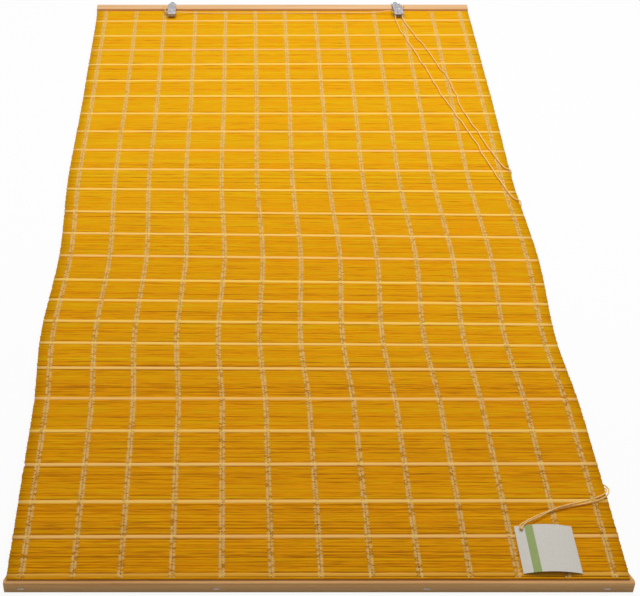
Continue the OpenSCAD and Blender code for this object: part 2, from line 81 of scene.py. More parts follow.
class Look:
    """A material's node tree, with short ways to add and link nodes."""

    def __init__(self, name, **shader):
        self.material = bpy.data.materials.new(name)
        self.material.use_nodes = True
        self.tree = self.material.node_tree
        self.shader = self.tree.nodes["Principled BSDF"]
        for key, value in shader.items():
            self.shader.inputs[SHADER_INPUTS[key]].default_value = value

    def add(self, kind, inputs=None, **settings):
        made = self.tree.nodes.new(kind)
        for key, value in settings.items():
            setattr(made, key, value)
        for key, value in (inputs or {}).items():
            if hasattr(value, "is_output"):
                self.tree.links.new(value, made.inputs[key])
            else:
                made.inputs[key].default_value = value
        return made

    def coords(self):
        return self.add("ShaderNodeTexCoord").outputs["Object"]

    def place(self, scale):
        """Object coordinates, stretched by one scale for each axis."""
        return self.add("ShaderNodeMapping", {"Vector": self.coords(), "Scale": scale}).outputs["Vector"]

    def noise(self, scale, detail, rough=0.55):
        made = self.add("ShaderNodeTexNoise", {"Vector": self.place(scale), "Scale": 1.0,
                                               "Detail": detail, "Roughness": rough})
        return made.outputs["Fac"]

    def ramp(self, fac, stops):
        made = self.add("ShaderNodeValToRGB", {"Fac": fac})
        ramp = made.color_ramp
        while len(ramp.elements) < len(stops):
            ramp.elements.new(0.5)
        for element, (where, colour) in zip(ramp.elements, stops):
            element.position = where
            element.color = (*colour, 1.0)
        return made.outputs["Color"]

    def math(self, operation, a, b):
        return self.add("ShaderNodeMath", {0: a, 1: b}, operation=operation).outputs["Value"]

    def axis(self, letter):
        return self.add("ShaderNodeSeparateXYZ", {"Vector": self.coords()}).outputs[letter]

    def spread(self, value, low, high, to_low, to_high):
        made = self.add("ShaderNodeMapRange", {"Value": value, "From Min": low, "From Max": high,
                                               "To Min": to_low, "To Max": to_high})
        return made.outputs["Result"]

    def vary(self, noise, low, high):
        """A noise's values spread from low to high."""
        return self.spread(noise, *NOISE_RANGE, low, high)

    def mix(self, fac, a, b):
        made = self.add("ShaderNodeMix", data_type="RGBA")
        for socket, value in zip((made.inputs[0], made.inputs[6], made.inputs[7]), (fac, a, b)):
            if hasattr(value, "is_output"):
                self.tree.links.new(value, socket)
            else:
                socket.default_value = (*value, 1.0)
        return made.outputs[2]

    def attribute(self, name):
        return self.add("ShaderNodeAttribute", attribute_name=name).outputs["Fac"]

    def finish(self, colour, rough=None, height=None, depth=0.0):
        links = self.tree.links
        links.new(colour, self.shader.inputs["Base Color"])
        if rough is not None:
            links.new(rough, self.shader.inputs["Roughness"])
        if height is not None:
            bump = self.add("ShaderNodeBump", {"Height": height, "Distance": depth})
            links.new(bump.outputs["Normal"], self.shader.inputs["Normal"])
        return self.material


def srgb(red, green, blue):
    """Linear colour of three 0 to 255 screen values."""
    return tuple(c / 12.92 if c <= 0.04045 else ((c + 0.055) / 1.055) ** 2.4
                 for c in (red / 255, green / 255, blue / 255))


def reed_look():
    look = Look("reed_yellow", specular=0.05)
    streak = look.noise((24, 900, 900), detail=4)
    patch = look.noise((5, 30, 30), detail=2)
    tone = look.math("ADD", look.attribute("tone"), look.vary(streak, -0.32, 0.32))
    base = look.ramp(tone, [(0.0, srgb(188, 118, 0)), (0.38, srgb(248, 170, 0)),
                            (0.58, srgb(237, 182, 2)), (1.0, srgb(247, 205, 22))])
    orange = look.mix(look.spread(patch, 0.56, 0.72, 0.0, 0.35), base, srgb(246, 162, 0))
    return look.finish(orange, look.vary(streak, 0.45, 0.62), streak, depth=0.1 * MM)


def slat_look():
    look = Look("pale_bamboo", specular=0.04)
    grain = look.noise((6, 1500, 1500), detail=4)
    patch = look.noise((3.5, 45, 45), detail=2)
    tone = look.math("ADD", look.attribute("tone"), look.vary(grain, -0.18, 0.18))
    base = look.ramp(tone, [(0.0, srgb(230, 164, 40)), (0.15, srgb(242, 178, 88)),
                            (0.38, srgb(254, 200, 112)), (0.62, srgb(255, 213, 88)),
                            (1.0, srgb(255, 224, 122))])
    warm = look.mix(look.spread(patch, 0.5, 0.75, 0.0, 0.4), base, srgb(255, 202, 100))
    return look.finish(warm, look.vary(grain, 0.4, 0.55), grain, depth=0.08 * MM)


def thread_look():
    look = Look("warp_thread", specular=0.03, roughness=0.9)
    fluff = look.noise((1800, 1800, 1800), detail=3)
    tone = look.math("ADD", look.attribute("tone"), look.vary(fluff, -0.15, 0.15))
    base = look.ramp(tone, [(0.05, srgb(168, 112, 40)), (0.5, srgb(255, 216, 122)),
                            (0.9, srgb(255, 244, 184))])
    return look.finish(base, None, fluff, depth=0.03 * MM)


def rail_look(name, dark, mid, pale, pores, shade):
    """Planed wood whose colour turns to a painted shade colour from a rail's top to the floor."""
    look = Look(name, specular=0.2)
    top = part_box("bottom_rail")[1].z
    grain = look.noise((3, 160, 160), detail=6, rough=0.65)
    pore = look.noise((40, 1400, 1400), detail=2)
    base = look.ramp(grain, [(0.25, srgb(*dark)), (0.5, srgb(*mid)), (0.75, srgb(*pale))])
    flecked = look.mix(look.spread(pore, 0.56, 0.7, 0.0, 0.3), base, srgb(*pores))
    # Painted shade: towards the floor the wood turns to the shade colour
    shaded = look.mix(look.spread(look.axis("Z"), top, 0.0, 0.0, FLOOR_SHADE_SHARE), flecked, srgb(*shade))
    return look.finish(shaded, look.vary(grain, 0.45, 0.62), pore, depth=0.1 * MM)


def galvanised_look():
    look = Look("galvanised_steel", metallic=0.3)
    spangle = look.add("ShaderNodeTexVoronoi", {"Vector": look.place((260, 260, 260)), "Scale": 1.0})
    cloud = look.noise((90, 90, 90), detail=4)
    base = look.ramp(look.math("MULTIPLY", spangle.outputs["Distance"], cloud),
                     [(0.08, srgb(150, 146, 150)), (0.45, srgb(204, 198, 200))])
    return look.finish(base, look.vary(cloud, 0.4, 0.55), cloud, depth=0.05 * MM)


def bright_steel_look():
    look = Look("bright_steel", metallic=0.8)
    scratch = look.noise((900, 900, 120), detail=3)
    base = look.ramp(scratch, [(0.3, srgb(168, 170, 176)), (0.7, srgb(208, 210, 214))])
    return look.finish(base, look.vary(scratch, 0.25, 0.42), scratch, depth=0.03 * MM)


def cord_look():
    look = Look("cord", specular=0.08, roughness=0.85)
    fluff = look.noise((1500, 1500, 1500), detail=3)
    base = look.ramp(fluff, [(0.3, srgb(242, 194, 114)), (0.55, srgb(255, 218, 142)),
                             (0.8, srgb(255, 238, 188))])
    return look.finish(base, None, fluff, depth=0.05 * MM)


def card_look():
    """Off-white card with one plain green stripe down its left part."""
    look = Look("card", specular=0.2)
    low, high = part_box("hang_tag")
    width = high.x - low.x
    fibre = look.noise((700, 700, 700), detail=4)
    white = look.ramp(fibre, [(0.3, srgb(212, 207, 197)), (0.7, srgb(228, 224, 213))])
    green = look.ramp(fibre, [(0.3, srgb(142, 160, 92)), (0.7, srgb(164, 180, 114))])
    off = look.math("SUBTRACT", look.axis("X"), low.x + STRIPE_PLACE_SHARE * width)
    inside = look.math("LESS_THAN", look.math("ABSOLUTE", off, 0.0), STRIPE_HALF_SHARE * width)
    return look.finish(look.mix(inside, white, green), look.vary(fibre, 0.5, 0.65))


LOOKS = {
    "yellow_reed": reed_look(),
    "pale_bamboo": slat_look(),
    "warp_thread": thread_look(),
    "rail_wood": rail_look("rail_wood", dark=(212, 160, 106), mid=(234, 186, 134),
                           pale=(246, 208, 164), pores=(190, 138, 84), shade=(234, 186, 134)),
    # Shaded copy of the rail wood for the bottom rail: its darker colours are painted shade on the face
    # turned away from the light
    "rail_wood_shaded": rail_look("rail_wood_shaded", dark=(202, 146, 84), mid=(224, 170, 106),
                               pale=(238, 192, 132), pores=(178, 124, 66), shade=(176, 142, 100)),
    "galvanised_steel": galvanised_look(),
    "bright_steel": bright_steel_look(),
    "cord": cord_look(),
    "card": card_look(),
}


# Meshes


def new_object(name, data):
    made = bpy.data.objects.new(name, data)
    bpy.context.scene.collection.objects.link(made)
    return made


def add_piece(name, points, faces, slot, replaced, tones=None, smooth=True):
    """A mesh that rides on the blind and stands for CAD nodes. Its end caps stay flat."""
    mesh = bpy.data.meshes.new(name)
    mesh.from_pydata(np.asarray(points).tolist(), [], faces)
    mesh.polygons.foreach_set("use_smooth", [smooth and len(face) == 4 for face in faces])
    if tones is not None:
        values = mesh.attributes.new("tone", "FLOAT", "POINT").data
        values.foreach_set("value", np.asarray(tones, np.float32))
    mesh.materials.append(LOOKS[slot])
    piece = new_object(name, mesh)
    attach(piece, BODY)
    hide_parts(*replaced)
    return piece


def tube_faces(rings, sides, start=0):
    """Quads between rings of points, with a cap at both ends."""
    faces = []
    for i in range(rings - 1):
        low, high = start + i * sides, start + (i + 1) * sides
        for k in range(sides):
            n = (k + 1) % sides
            faces.append((low + k, low + n, high + n, high + k))
    last = start + (rings - 1) * sides
    faces.append(tuple(range(start + sides - 1, start - 1, -1)))
    faces.append(tuple(range(last, last + sides)))
    return faces


def unit(vectors):
    return vectors / np.linalg.norm(vectors, axis=-1, keepdims=True)


def middle(node):
    low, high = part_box(node)
    return np.array((low + high) / 2)


def half_height(node):
    low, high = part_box(node)
    return (high.z - low.z) / 2


def flat_oval(sides, power_across, power_up):
    """Points of an oval of half width 1, flatter the smaller its powers are."""
    angle = 2 * math.pi * (np.arange(sides) + 0.5) / sides
    across, up = np.cos(angle), np.sin(angle)
    return np.sign(across) * np.abs(across) ** power_across, np.sign(up) * np.abs(up) ** power_up


def ease(value, low, high):
    """0 below low, 1 above high and a smooth step between."""
    t = np.clip((value - low) / (high - low), 0, 1)
    return t * t * (3 - 2 * t)


# Camera


def add_camera():
    data = bpy.data.cameras.new("camera")
    data.sensor_width = SENSOR_W_MM
    data.lens = FOCAL_PX * SENSOR_W_MM / PHOTO_W
    data.shift_x = 0.5 - AXIS_PX_X / PHOTO_W
    camera = new_object("camera", data)
    camera.location = CAMERA_PLACE
    camera.rotation_euler = (math.radians(CAMERA_TILT_DEG), 0, 0)
    bpy.context.scene.camera = camera


add_camera()

# How the mat lies

# Shifts in Y of the slats beside their CAD solids, from the end slat to the top one
SLAT_SHIFTS_MM = [-1, 0.4, -2.4, 0, -0.8, -3] + 6 * [-1] + 8 * [-2.4] + 5 * [0.4]
SLAT_NODES = ["end_slat"] + [numbered("natural_slat", i) for i in range(1, SLAT_COUNT + 1)]
slat_boxes = [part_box(name) for name in SLAT_NODES]
slat_yz = np.array([((low.y + high.y) / 2, (low.z + high.z) / 2) for low, high in slat_boxes])
slat_yz[:, 0] += np.array(SLAT_SHIFTS_MM) * MM
mat_low, mat_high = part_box("reed_mat")
# Ends of the sticks and slats, cut a little short of the CAD wall on the left and right
EDGE_TRIM = (1.1 * MM, 2.4 * MM)
EDGE_X = (mat_low.x + EDGE_TRIM[0], mat_high.x - EDGE_TRIM[1])

# Sideways sway of the mat as it lies: share of the way from the end slat to the top slat, and shift
SWAY_SHARES = [0, 0.2, 0.312, 0.455, 0.605, 0.81, 1]
SWAY_MM = [-0.3, -0.9, -7.9, 1.2, -5, -1.1, 0.5]
# Slant of the slats in the same way: shift in Y of their right ends
SLANT_SHARES = [0, 0.1, 0.45, 0.9, 1]
SLANT_MM = [1.3, 1.1, -6.9, 2.2, 2.6]


def eased(y, shares, shifts_mm):
    """Shift at a place along Y, eased from one share of the way up the slats to the next."""
    share = np.clip((y - slat_yz[0, 0]) / (slat_yz[-1, 0] - slat_yz[0, 0]), 0, 1)
    i = np.clip(np.searchsorted(shares, share, side="right") - 1, 0, len(shares) - 2)
    t = ease(share, np.take(shares, i), np.take(shares, i + 1))
    return MM * ((1 - t) * np.take(shifts_mm, i) + t * np.take(shifts_mm, i + 1))


def sway(y):
    """Shift in X of the mat at a place along Y."""
    return eased(y, SWAY_SHARES, SWAY_MM)


def slant(x, y):
    """Shift in Y of a place on the mat, which fades out towards both rails."""
    fade = np.interp(y, [mat_low.y, slat_yz[0, 0], slat_yz[-1, 0], mat_high.y], [0, 1, 1, 0])
    return fade * eased(y, SLANT_SHARES, SLANT_MM) * x / mat_high.x


# Lift cords

LEFT_ROUTE_MM = [
    (-255, 784, 8), (-255, 784, 17.5), (-254.8, 781.5, 21.6), (-254, 771, 23), (-252.5, 757.5, 22.6),
    (-248.5, 749.8, 22.3), (-243, 747.2, 22.3), (-238, 747, 22.3), (-233, 748, 22.3), (-227, 750, 22),
    (-214, 754.5, 19.4), (-197, 757.8, 16.2), (136, 758.2, 16), (196, 758, 17), (225, 757, 21.8),
    (234, 753.5, 22.3), (238, 745, 22), (238.6, 736.8, 20.9), (239.5, 724, 17), (248.5, 664, 16),
    (270, 571, 15.8), (306, 393, 15.6), (332, 295, 15.5), (392, 61, 15.9), (400.6, 54.5, 15.9),
    (404, 50, 11.5), (400.5, 45, 5.8), (393, 36, 1.6), (391, -600, 1.4), (396, -624, 8),
    (401.5, -631.5, 14.5), (403.5, -638.5, 19), (401.2, -645.5, 22.8), (394, -651.5, 23.7),
    (376, -661, 24.2), (340, -673.4, 25.8), (324, -679, 25.8), (300, -692.5, 24.6), (276, -708.5, 27),
    (271.8, -715, 27.2)]
RIGHT_ROUTE_MM = [
    (261, 784, 8), (261, 784, 17.5), (260.2, 781.3, 21.8), (257.5, 772, 23), (255, 764, 22.5),
    (253.4, 758, 22.3), (253.2, 750.5, 22.2), (253.3, 743.5, 21.8), (253.5, 736.8, 20.9), (254.6, 727, 18),
    (256.5, 718, 16.4), (271.5, 664, 16), (291.5, 600, 15.9), (303.5, 542, 15.8), (319, 490, 15.7),
    (328, 416, 15.6), (334.5, 360, 15.5), (351, 286, 15.5), (392, 158.5, 15.7), (400.6, 152, 15.7),
    (404, 147.5, 11.3), (400.5, 142.5, 5.7), (393, 133, 1.6), (387, 40, 1.4), (386, -560, 1.4),
    (390, -590, 4.6), (398, -617, 9), (404.5, -627, 14.5), (407.5, -637, 19), (405, -647, 22.4),
    (396, -656, 23.6), (376, -665.5, 23.4), (340, -674.5, 23.2), (324, -679, 23.2), (308, -684.5, 23.2),
    (284, -698, 23.7), (275.5, -704.5, 24.8), (270.8, -709, 26.4), (269.2, -712, 27.1),
    (269.1, -714.4, 27.2)]
# Thickness of the cords, step from ring to ring, run of one turn, sides of a ring and share of the groove
CORD_D = 2.2 * MM
CORD_STEP = 1.5 * MM
CORD_TWIST = 9 * MM
CORD_SIDES = 8
PLY_GROOVE_SHARE = 0.1
# Shares of the mat's half width between which a cord comes to follow the mat's right edge,
# where it lies above and below the middle of the mat's height
HIGH_EDGE_SHARES = (0.98, 1.005)
LOW_EDGE_SHARES = (0.94, 0.96)
# Share of its reach past that edge that a cord loses on the upper and the lower half of the mat
EDGE_TUCK_SHARES = (0.5, 0.25)
# Waves of the slight kinks in a cord's run over the upper mat: length and reach sideways
KINK_WAVES_MM = [(130, 0.5), (71, 0.7), (43, 0.5)]
KINK_PHASES = {"left_lift_cord": 0.9, "right_lift_cord": 2.3}
# Places along Y between which the kinks set in and end, and shares of the mat's half width for their end
KINK_START_Y = (0, 0.1)
KINK_END_Y = (0.67, 0.73)
KINK_END_SHARES = (0.88, 0.95)
# Rings of a knot's loop, and its rise where its outer radius is 3
KNOT_RINGS = 61
KNOT_RISE = 1.6
# Rise of a path's start from which its rings are squared by Y in place of Z
STEEP = 0.9


def ring_frames(path):
    """Two directions square to a path, carried along it without twist."""
    way = unit(np.gradient(path, axis=0))
    guide = (0.0, 1.0, 0.0) if abs(way[0][2]) > STEEP else (0.0, 0.0, 1.0)
    sides = [unit(np.cross(way[0], guide))]
    for step in way[1:]:
        sides.append(unit(sides[-1] - step * np.dot(sides[-1], step)))
    return np.array(sides), np.cross(way, sides)


def smooth_route(route, step):
    """Points a step apart on a centripetal spline through a route."""
    p = np.vstack([2 * route[0] - route[1], route, 2 * route[-1] - route[-2]])
    knots = np.concatenate([[0], np.cumsum(np.sqrt(np.linalg.norm(np.diff(p, axis=0), axis=1)))])
    line = []
    for i in range(1, len(p) - 2):
        count = max(2, int(np.linalg.norm(p[i + 1] - p[i]) / step))
        t = np.linspace(knots[i], knots[i + 1], count, endpoint=False)[:, None]
        a = [((knots[j + 1] - t) * p[j] + (t - knots[j]) * p[j + 1]) / (knots[j + 1] - knots[j])
             for j in (i - 1, i, i + 1)]
        b = [((knots[j + 2] - t) * a[n] + (t - knots[j]) * a[n + 1]) / (knots[j + 2] - knots[j])
             for n, j in enumerate((i - 1, i))]
        line.append(((knots[i + 1] - t) * b[0] + (t - knots[i]) * b[1]) / (knots[i + 1] - knots[i]))
    return np.vstack([*line, p[-2][None]])


def run_along(path):
    """Length of a path up to each of its points."""
    return np.concatenate([[0], np.cumsum(np.linalg.norm(np.diff(path, axis=0), axis=1))])


def ply_rings(path, diameter):
    """Rings of a two-ply cord, whose grooved section turns along its path."""
    side, top = ring_frames(path)
    turn = 2 * math.pi * run_along(path)[:, None] / CORD_TWIST
    angle = 2 * math.pi * np.arange(CORD_SIDES) / CORD_SIDES
    radius = diameter / 2 * (1 - PLY_GROOVE_SHARE * (1 + np.cos(2 * angle - turn)))
    across, up = radius * np.cos(angle), radius * np.sin(angle)
    rings = path[:, None] + across[..., None] * side[:, None] + up[..., None] * top[:, None]
    return rings.reshape(-1, 3)


def follow_edge(route):
    """A route whose points round the mat's right edge and behind it are shifted as that edge is."""
    x, y, z = route.T
    reach_share = x / mat_high.x
    high = z > middle("reed_mat")[2]
    share = np.where(high, ease(reach_share, *HIGH_EDGE_SHARES), ease(reach_share, *LOW_EDGE_SHARES))
    shift = share * (sway(y) + EDGE_X[1] - mat_high.x)
    reach = np.maximum(x - mat_high.x, 0)
    tuck = np.where(y > 0, *EDGE_TUCK_SHARES) * reach
    return np.stack([x + shift - tuck, y, z], axis=-1)


def kinked(path, phase):
    """A path with slight level kinks in its run from the head rail to the mat's right edge."""
    x, y = path[:, 0], path[:, 1]
    along = run_along(path)
    wave = sum(reach * np.sin(2 * math.pi * along / (length * MM) + phase * n)
               for n, (length, reach) in enumerate(KINK_WAVES_MM, 1)) * MM
    inner = 1 - ease(x / mat_high.x, *KINK_END_SHARES)
    share = ease(y, *KINK_START_Y) * (1 - ease(y, *KINK_END_Y)) * inner
    way = unit(np.gradient(path, axis=0))
    side = np.stack([-way[:, 1], way[:, 0], np.zeros(len(path))], axis=-1)
    return path + side * (wave * share)[:, None]


def add_cord(name, route_mm):
    """A cord in place of its CAD node, with the path that it takes."""
    route = follow_edge(np.array(route_mm) * MM)
    path = kinked(smooth_route(route, CORD_STEP), KINK_PHASES[name])
    path[:, 2] = np.maximum(path[:, 2], CORD_D / 2)
    faces = tube_faces(len(path), CORD_SIDES)
    return add_piece(name + "_line", ply_rings(path, CORD_D), faces, "cord", [name]), path


def add_knots(node, centres):
    """Overhand knots drawn as tight trefoils in place of a node's balls."""
    t = np.linspace(0, 2 * math.pi, KNOT_RINGS)
    loop = np.stack([np.sin(t) + 2 * np.sin(2 * t), np.cos(t) - 2 * np.cos(2 * t),
                     -KNOT_RISE * np.sin(3 * t)], axis=-1)
    loop *= (half_height(node) - CORD_D / 2) / 3
    faces = []
    for n in range(len(centres)):
        faces += tube_faces(len(t), CORD_SIDES, n * len(t) * CORD_SIDES)
    points = np.vstack([ply_rings(loop + centre, CORD_D) for centre in centres])
    return add_piece(node + "_loops", points, faces, "cord", [node])


left_cord, left_path = add_cord("left_lift_cord", LEFT_ROUTE_MM)
right_cord, right_path = add_cord("right_lift_cord", RIGHT_ROUTE_MM)
knot_yz = middle("rail_knots")[1:]
rail_knots = add_knots("rail_knots", [(path[0][0], *knot_yz) for path in (left_path, right_path)])
tag_knot = add_knots("tag_knot", [middle("tag_knot")])

# Mat

# Sizes of the sticks and slats, with the powers that shape their oval sections
STICK_PITCH = 2.56 * MM
STICK_W = 2.5 * MM
STICK_T = 2.3 * MM
STICK_SIDES = 8
STICK_OVAL = (0.8, 0.7)
SLAT_W = 6.4 * MM
END_SLAT_W = 6 * MM
SLAT_T = 2.5 * MM
SLAT_SIDES = 12
SLAT_OVAL = (0.5, 0.6)
SLAT_STATIONS = 41
# How far above the CAD wall's lower end the sticks begin
TAIL_TRIM = 1.2 * MM

# Scatter of the sticks: at their ends, sideways and upwards between bands, and of whole sticks;
# share of it that a band leaves; and shares of their size that they differ by from each other and along them
STICK_END_SCATTER = 0.3 * MM
STICK_BOW = 0.1 * MM
STICK_LIFT = 0.09 * MM
STICK_ROW_SCATTER = 0.05 * MM
BOUND_SHARE = 0.35
STICK_SIZE_SHARE = 0.04
STICK_WAVER_SHARE = 0.02
# Scatter of the slats: their ends, and how bow and thickness wander from station to station
SLAT_END_SCATTER = 0.4 * MM
SLAT_BOW_STEP = 0.04 * MM
SLAT_SWELL_SHARE = 0.003

# Mean tone of the sticks, darker and more orange towards the bottom as painted shade
STICK_TONE_SHARES = [0, 0.13, 0.28, 0.45, 0.73, 1]
STICK_TONES = [0.32, 0.364, 0.44, 0.455, 0.51, 0.515]
STICK_TONE_SCATTER = 0.1
STICK_TONE_RANGE = (0, 0.95)
# Tone change of the two sticks beside a slat
SLAT_SHADE = -0.15
# Tone of the slats, which are pinker towards the bottom
SLAT_TONE_LOW = 0.38
SLAT_TONE_RISE = 0.26
SLAT_TONE_SCATTER = 0.08
SLAT_TONE_RANGE = (0.15, 0.85)
# Tone of the yellower end slat and of the painted highlight along its upper rim, and where that highlight
# begins
END_SLAT_TONE = -0.1
END_SLAT_GLINT_TONE = 0.8
END_SLAT_GLINT_SHARE = 0.8


def slat_width(i):
    return END_SLAT_W if i == 0 else SLAT_W


def slat_slope(i):
    run = slat_yz[min(i + 1, SLAT_COUNT)] - slat_yz[max(i - 1, 0)]
    return math.atan2(run[1], run[0])


def stick_rows():
    """Middle (Y, Z), slope and tone change of every stick, from the bottom to the top of the mat."""
    end = mat_low.y + TAIL_TRIM
    run = slat_yz[0, 0] - slat_width(0) / 2 - end
    tail = round(run / STICK_PITCH)
    rows = [(end + (j + 0.5) * run / tail, slat_yz[0, 1], 0.0, 0.0) for j in range(tail)]
    for i in range(SLAT_COUNT):
        rise = slat_yz[i + 1] - slat_yz[i]
        length = np.linalg.norm(rise)
        free = length - (slat_width(i) + slat_width(i + 1)) / 2
        count = round(free / STICK_PITCH)
        for j in range(count):
            y, z = slat_yz[i] + rise / length * (slat_width(i) / 2 + (j + 0.5) * free / count)
            rows.append((y, z, math.atan2(rise[1], rise[0]), SLAT_SHADE if j in (0, count - 1) else 0.0))
    top = round((mat_high.y - slat_yz[-1, 0] - SLAT_W / 2) / STICK_PITCH)
    rows += [(mat_high.y - (top - j - 0.5) * STICK_PITCH, slat_yz[-1, 1], 0.0, 0.0) for j in range(top)]
    return np.array(rows)


sticks = stick_rows()
band_x = np.array([middle(numbered("warp_band", k))[0] for k in range(1, BAND_COUNT + 1)])


def uneven(count, stations):
    """Shares of the usual size that each stick has at each of its stations."""
    whole = rng.normal(0, STICK_SIZE_SHARE, (count, 1))
    return 1 + whole + rng.normal(0, STICK_WAVER_SHARE, (count, stations))


def add_sticks(name, rows):
    """One mesh of sticks, bound at the bands and free to bow a little between them."""
    count = len(rows)
    between = (band_x[1:] + band_x[:-1]) / 2
    bound = np.sort(np.concatenate([band_x, between, EDGE_X]))
    stations = len(bound)
    shape = (count, stations)
    x = np.tile(bound, (count, 1)) + sway(rows[:, 0])[:, None]
    x[:, [0, -1]] += rng.normal(0, STICK_END_SCATTER, (count, 2))
    loose = np.where(np.isin(bound, band_x), BOUND_SHARE, 1.0)
    sideways = rng.normal(0, STICK_BOW, shape) * loose + rng.normal(0, STICK_ROW_SCATTER, (count, 1))
    upward = rng.normal(0, STICK_LIFT, shape) * loose
    width = STICK_W * uneven(count, stations)
    thick = STICK_T * uneven(count, stations)
    oval_across, oval_up = flat_oval(STICK_SIDES, *STICK_OVAL)
    across = sideways[..., None] + width[..., None] / 2 * oval_across
    up = upward[..., None] + thick[..., None] / 2 * oval_up
    cos, sin = np.cos(rows[:, 2])[:, None, None], np.sin(rows[:, 2])[:, None, None]
    along = rows[:, 0][:, None]
    y = (along + slant(x, along))[..., None] + across * cos - up * sin
    z = rows[:, 1][:, None, None] + across * sin + up * cos
    points = np.stack([np.broadcast_to(x[..., None], y.shape), y, z], axis=-1).reshape(-1, 3)
    faces = []
    for i in range(count):
        faces += tube_faces(stations, STICK_SIDES, i * stations * STICK_SIDES)
    share = (rows[:, 0] - mat_low.y) / (mat_high.y - mat_low.y)
    # Painted shade: the sticks' tone falls towards the bottom of the mat
    fade = np.interp(share, STICK_TONE_SHARES, STICK_TONES)
    tones = np.clip(rng.normal(fade, STICK_TONE_SCATTER) + rows[:, 3], *STICK_TONE_RANGE)
    tones = np.repeat(tones, stations * STICK_SIDES)
    return add_piece(name, points, faces, "yellow_reed", ["reed_mat"], tones)


def add_slat(i):
    """One flat slat, counted from the end slat up."""
    x = np.linspace(*EDGE_X, SLAT_STATIONS) + sway(slat_yz[i, 0])
    x[[0, -1]] += rng.normal(0, SLAT_END_SCATTER, 2)
    bow = np.cumsum(rng.normal(0, SLAT_BOW_STEP, SLAT_STATIONS))
    bow -= np.linspace(bow[0], bow[-1], SLAT_STATIONS)
    swell = 1 + np.cumsum(rng.normal(0, SLAT_SWELL_SHARE, SLAT_STATIONS))
    oval_across, oval_up = flat_oval(SLAT_SIDES, *SLAT_OVAL)
    across = bow[:, None] + swell[:, None] * slat_width(i) / 2 * oval_across
    up = swell[:, None] * SLAT_T / 2 * oval_up
    slope = slat_slope(i)
    along = slat_yz[i, 0] + slant(x, slat_yz[i, 0])
    y = along[:, None] + across * math.cos(slope) - up * math.sin(slope)
    z = slat_yz[i, 1] + across * math.sin(slope) + up * math.cos(slope)
    points = np.stack([np.broadcast_to(x[:, None], y.shape), y, z], axis=-1).reshape(-1, 3)
    mean_tone = SLAT_TONE_LOW + SLAT_TONE_RISE * i / SLAT_COUNT
    tones = np.full(y.shape, np.clip(rng.normal(mean_tone, SLAT_TONE_SCATTER), *SLAT_TONE_RANGE))
    if i == 0:
        # Painted highlight: a pale strip along the end slat's upper rim
        tones[:] = np.where(oval_across > END_SLAT_GLINT_SHARE, END_SLAT_GLINT_TONE, END_SLAT_TONE)
    faces = tube_faces(SLAT_STATIONS, SLAT_SIDES)
    return add_piece(SLAT_NODES[i] + "_strip", points, faces, "pale_bamboo", [SLAT_NODES[i]], tones.ravel())


half = len(sticks) // 2
add_sticks("lower_sticks", sticks[:half])
add_sticks("upper_sticks", sticks[half:])
for number in range(SLAT_COUNT + 1):
    add_slat(number)

# Warp bands

# Sizes of a thread, and how far the upper one of two lies above the other
THREAD_W = 1.0 * MM
THREAD_T = 0.2 * MM
THREAD_CROSS = 0.12 * MM
# Distance of both columns of a band from its middle, and reach of the threads to both sides of a column
BAND_COLUMN = 2.1 * MM
ZIGZAG = 1.9 * MM
# Mean tone of the threads; the upper ones are paler as painted light and the ones below them darker as
# painted shade
THREAD_TONE = 0.53
PHASE_SHADE_TONE = 0.12
# Scatter of the threads in tone and place
THREAD_TONE_SCATTER = 0.1
THREAD_SCATTER = 0.2 * MM
# Share of the crossings that are dark dots, how much darker they are at the bottom of the mat,
# and the share of that which is left at its top
DOT_SHARE = 0.3
DOT_TONE = 0.55
DOT_FADE_SHARE = 0.1
# Section of a thread in shares of its width and thickness
THREAD_SECTION_SHARES = [(-0.5, 0.0), (-0.3, 1.0), (0.3, 1.0), (0.5, 0.0)]


def warp_stations():
    """Places (Y, Z, slope, half thickness) that the warp threads pass over, from bottom to top."""
    rows = [(y, z, slope, STICK_T / 2) for y, z, slope, _ in sticks]
    for i, (y, z) in enumerate(slat_yz):
        slope = slat_slope(i)
        for side in (-1, 1):
            reach = side * SLAT_W / 4
            rows.append((y + reach * math.cos(slope), z + reach * math.sin(slope), slope, SLAT_T / 2))
    return np.array(sorted(rows))


warp = warp_stations()


def thread_rings(x, lift, face):
    """Rings of one flat thread on the front (1) or the back (-1) of the mat."""
    rings = []
    for across, up in THREAD_SECTION_SHARES:
        height = face * (lift + THREAD_T * up)
        y = warp[:, 0] + slant(x, warp[:, 0]) - height * np.sin(warp[:, 2])
        z = warp[:, 1] + height * np.cos(warp[:, 2])
        rings.append(np.stack([x + face * across * THREAD_W, y, z], axis=-1))
    return np.stack(rings, axis=1).reshape(-1, 3)


